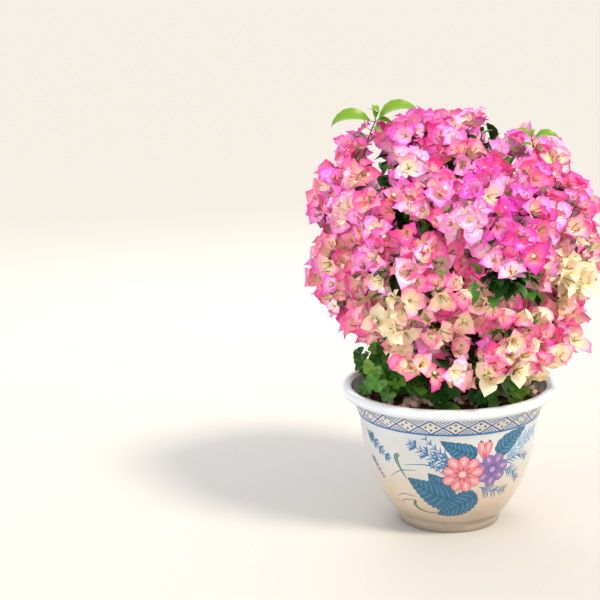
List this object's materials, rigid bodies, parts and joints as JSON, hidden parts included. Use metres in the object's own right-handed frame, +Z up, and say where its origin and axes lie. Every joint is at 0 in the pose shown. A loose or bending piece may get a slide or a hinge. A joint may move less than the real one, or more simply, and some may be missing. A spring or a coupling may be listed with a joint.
{
  "type": "potted bougainvillea bush",
  "caption": "Rounded flowering bougainvillea bush on a short trunk with spreading boughs, growing in a wide-rimmed glazed ceramic planter full of soil.",
  "frame": {"origin": "middle of the flat underside of the planter's foot, on the surface it stands on", "axes": "+Z up along the planter's axis, -Y towards the front of the painted spray, +X to the right seen from the front"},
  "size_m": [0.575, 0.5748, 0.8595],
  "materials": {
    "glaze": "glossy cream-white glaze with a blue lattice band and a painted flower spray",
    "soil": "rough brown potting soil with small stones",
    "bark": "grey-brown furrowed bark",
    "blossom": "papery bracts, cream at the throat and pink to magenta at the tips, on green twigs",
    "young_leaf": "soft satin green leaves"
  },
  "bodies": {
    "root": {"pot": "glaze", "soil": "soil", "trunk": "bark", "bough_top_0": "bark", "bough_top_1": "bark", "bough_top_2": "bark", "bough_upper_0": "bark", "bough_upper_1": "bark", "bough_upper_2": "bark", "bough_upper_3": "bark", "bough_upper_4": "bark", "bough_upper_5": "bark", "bough_middle_0": "bark", "bough_middle_1": "bark", "bough_middle_2": "bark", "bough_middle_3": "bark", "bough_middle_4": "bark", "bough_middle_5": "bark", "bough_middle_6": "bark", "mass_top_0": "blossom", "mass_top_1": "blossom", "mass_top_2": "blossom", "mass_upper_0": "blossom", "mass_upper_1": "blossom", "mass_upper_2": "blossom", "mass_upper_3": "blossom", "mass_upper_4": "blossom", "mass_upper_5": "blossom", "mass_middle_0": "blossom", "mass_middle_1": "blossom", "mass_middle_2": "blossom", "mass_middle_3": "blossom", "mass_middle_4": "blossom", "mass_middle_5": "blossom", "mass_middle_6": "blossom", "mass_lower_0": "blossom", "mass_lower_1": "blossom", "mass_lower_2": "blossom", "mass_lower_3": "blossom", "mass_lower_4": "blossom", "mass_lower_5": "blossom", "mass_skirt_0": "blossom", "mass_skirt_1": "blossom", "mass_skirt_2": "blossom", "mass_skirt_3": "blossom", "mass_skirt_4": "blossom", "mass_skirt_5": "blossom", "mass_basal_0": "young_leaf", "mass_basal_1": "young_leaf", "mass_basal_2": "young_leaf", "mass_basal_3": "young_leaf", "mass_basal_4": "young_leaf"}
  },
  "joints": []
}
